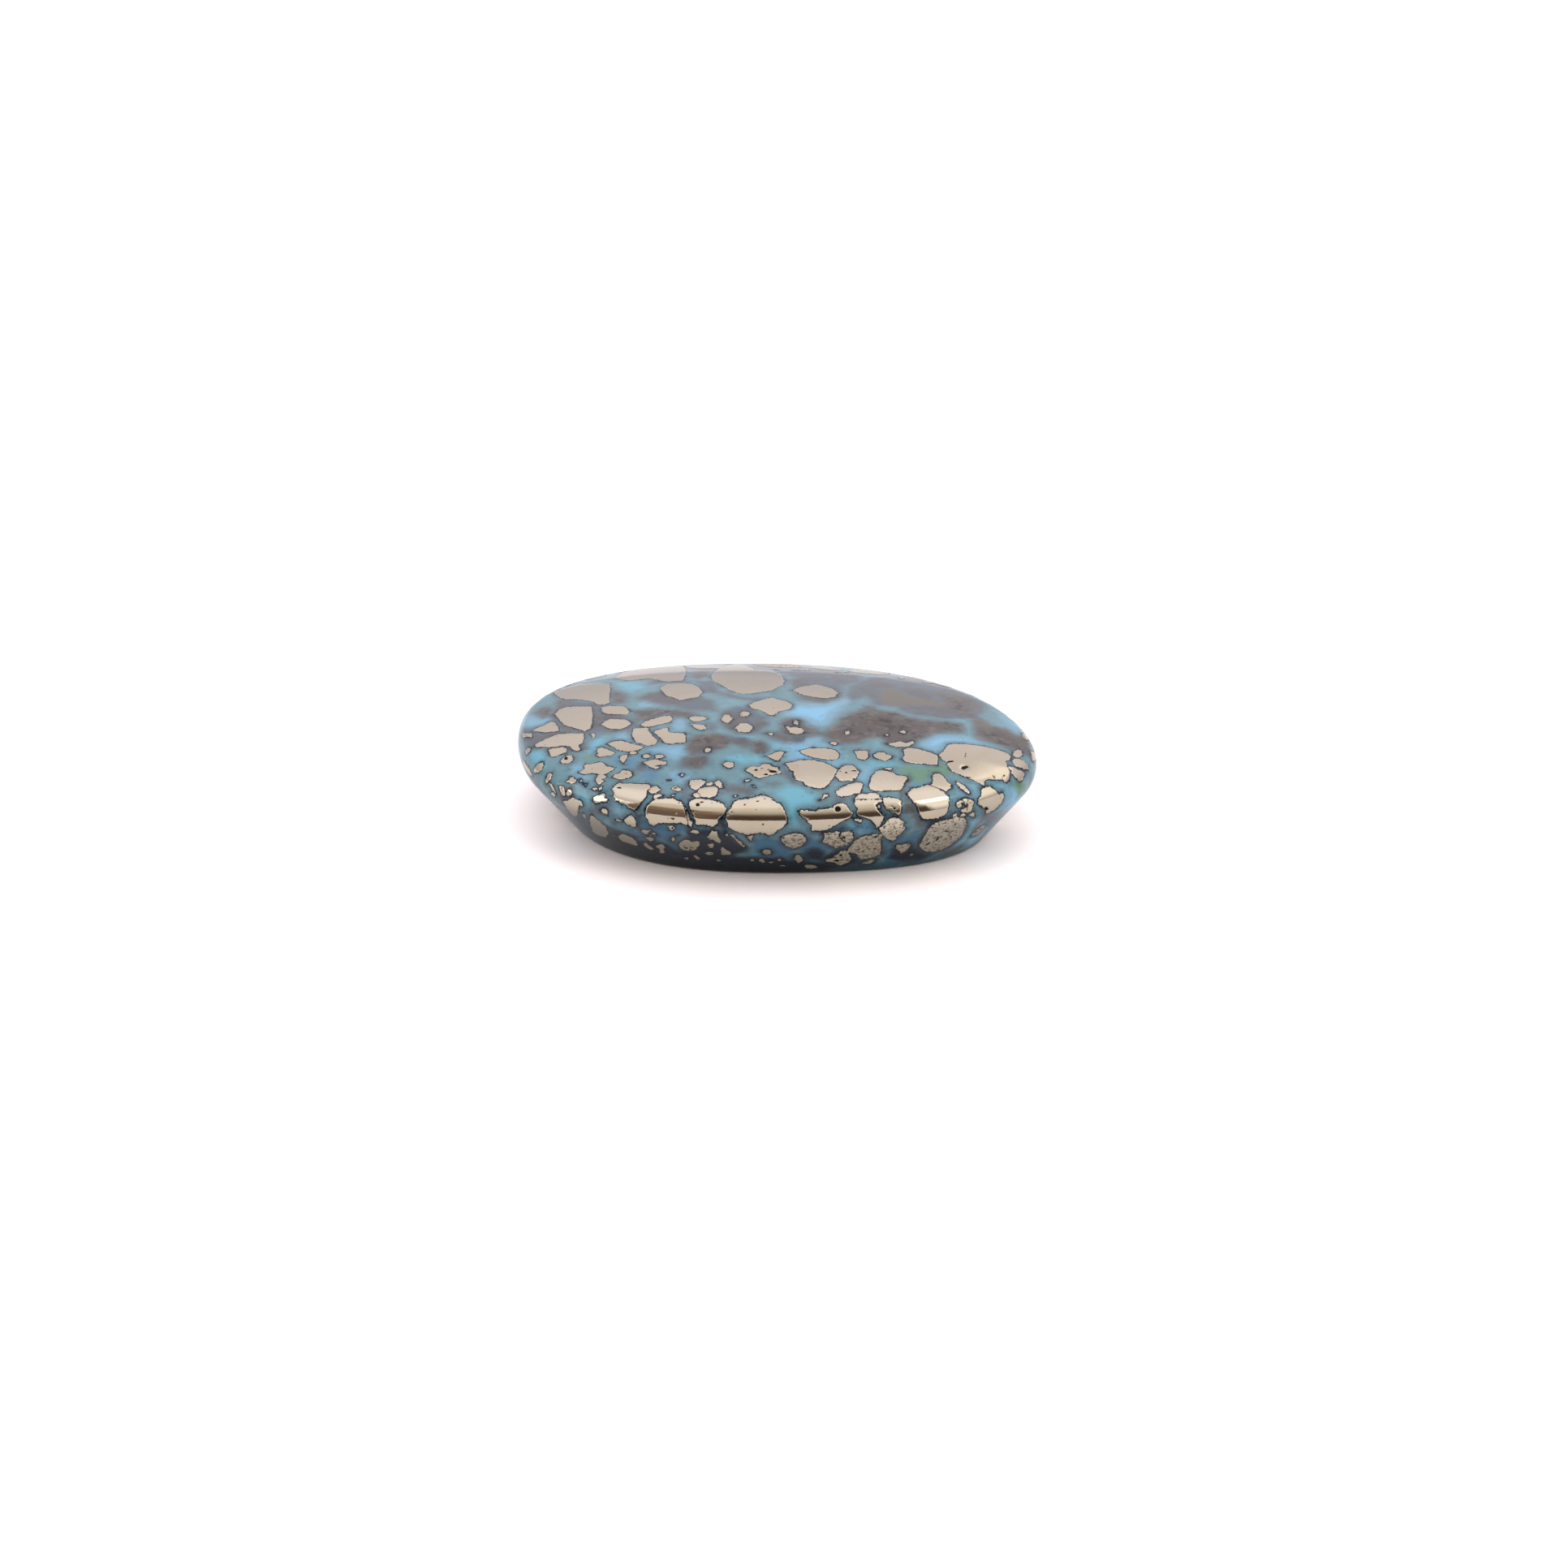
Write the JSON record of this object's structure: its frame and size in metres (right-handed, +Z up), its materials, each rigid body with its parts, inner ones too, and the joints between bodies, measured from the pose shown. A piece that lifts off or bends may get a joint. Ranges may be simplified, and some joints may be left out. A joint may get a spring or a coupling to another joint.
{
  "type": "turquoise cabochon with pyrite",
  "caption": "Oval polished turquoise stone with metallic pyrite patches, a low domed face, a tight shoulder, an inward-curving side and a flat base.",
  "frame": {"origin": "middle of the flat base, under the middle of the stone's box", "axes": "+Z up through the domed face, +X along the oval's long axis, +Y along its short axis"},
  "size_m": [0.038, 0.0274, 0.0085],
  "materials": {
    "turquoise": "polished turquoise, sky blue to teal, with flush mirror-bright pyrite patches and grey-brown host rock"
  },
  "bodies": {
    "root": {"turquoise_cabochon": "turquoise"}
  },
  "joints": []
}
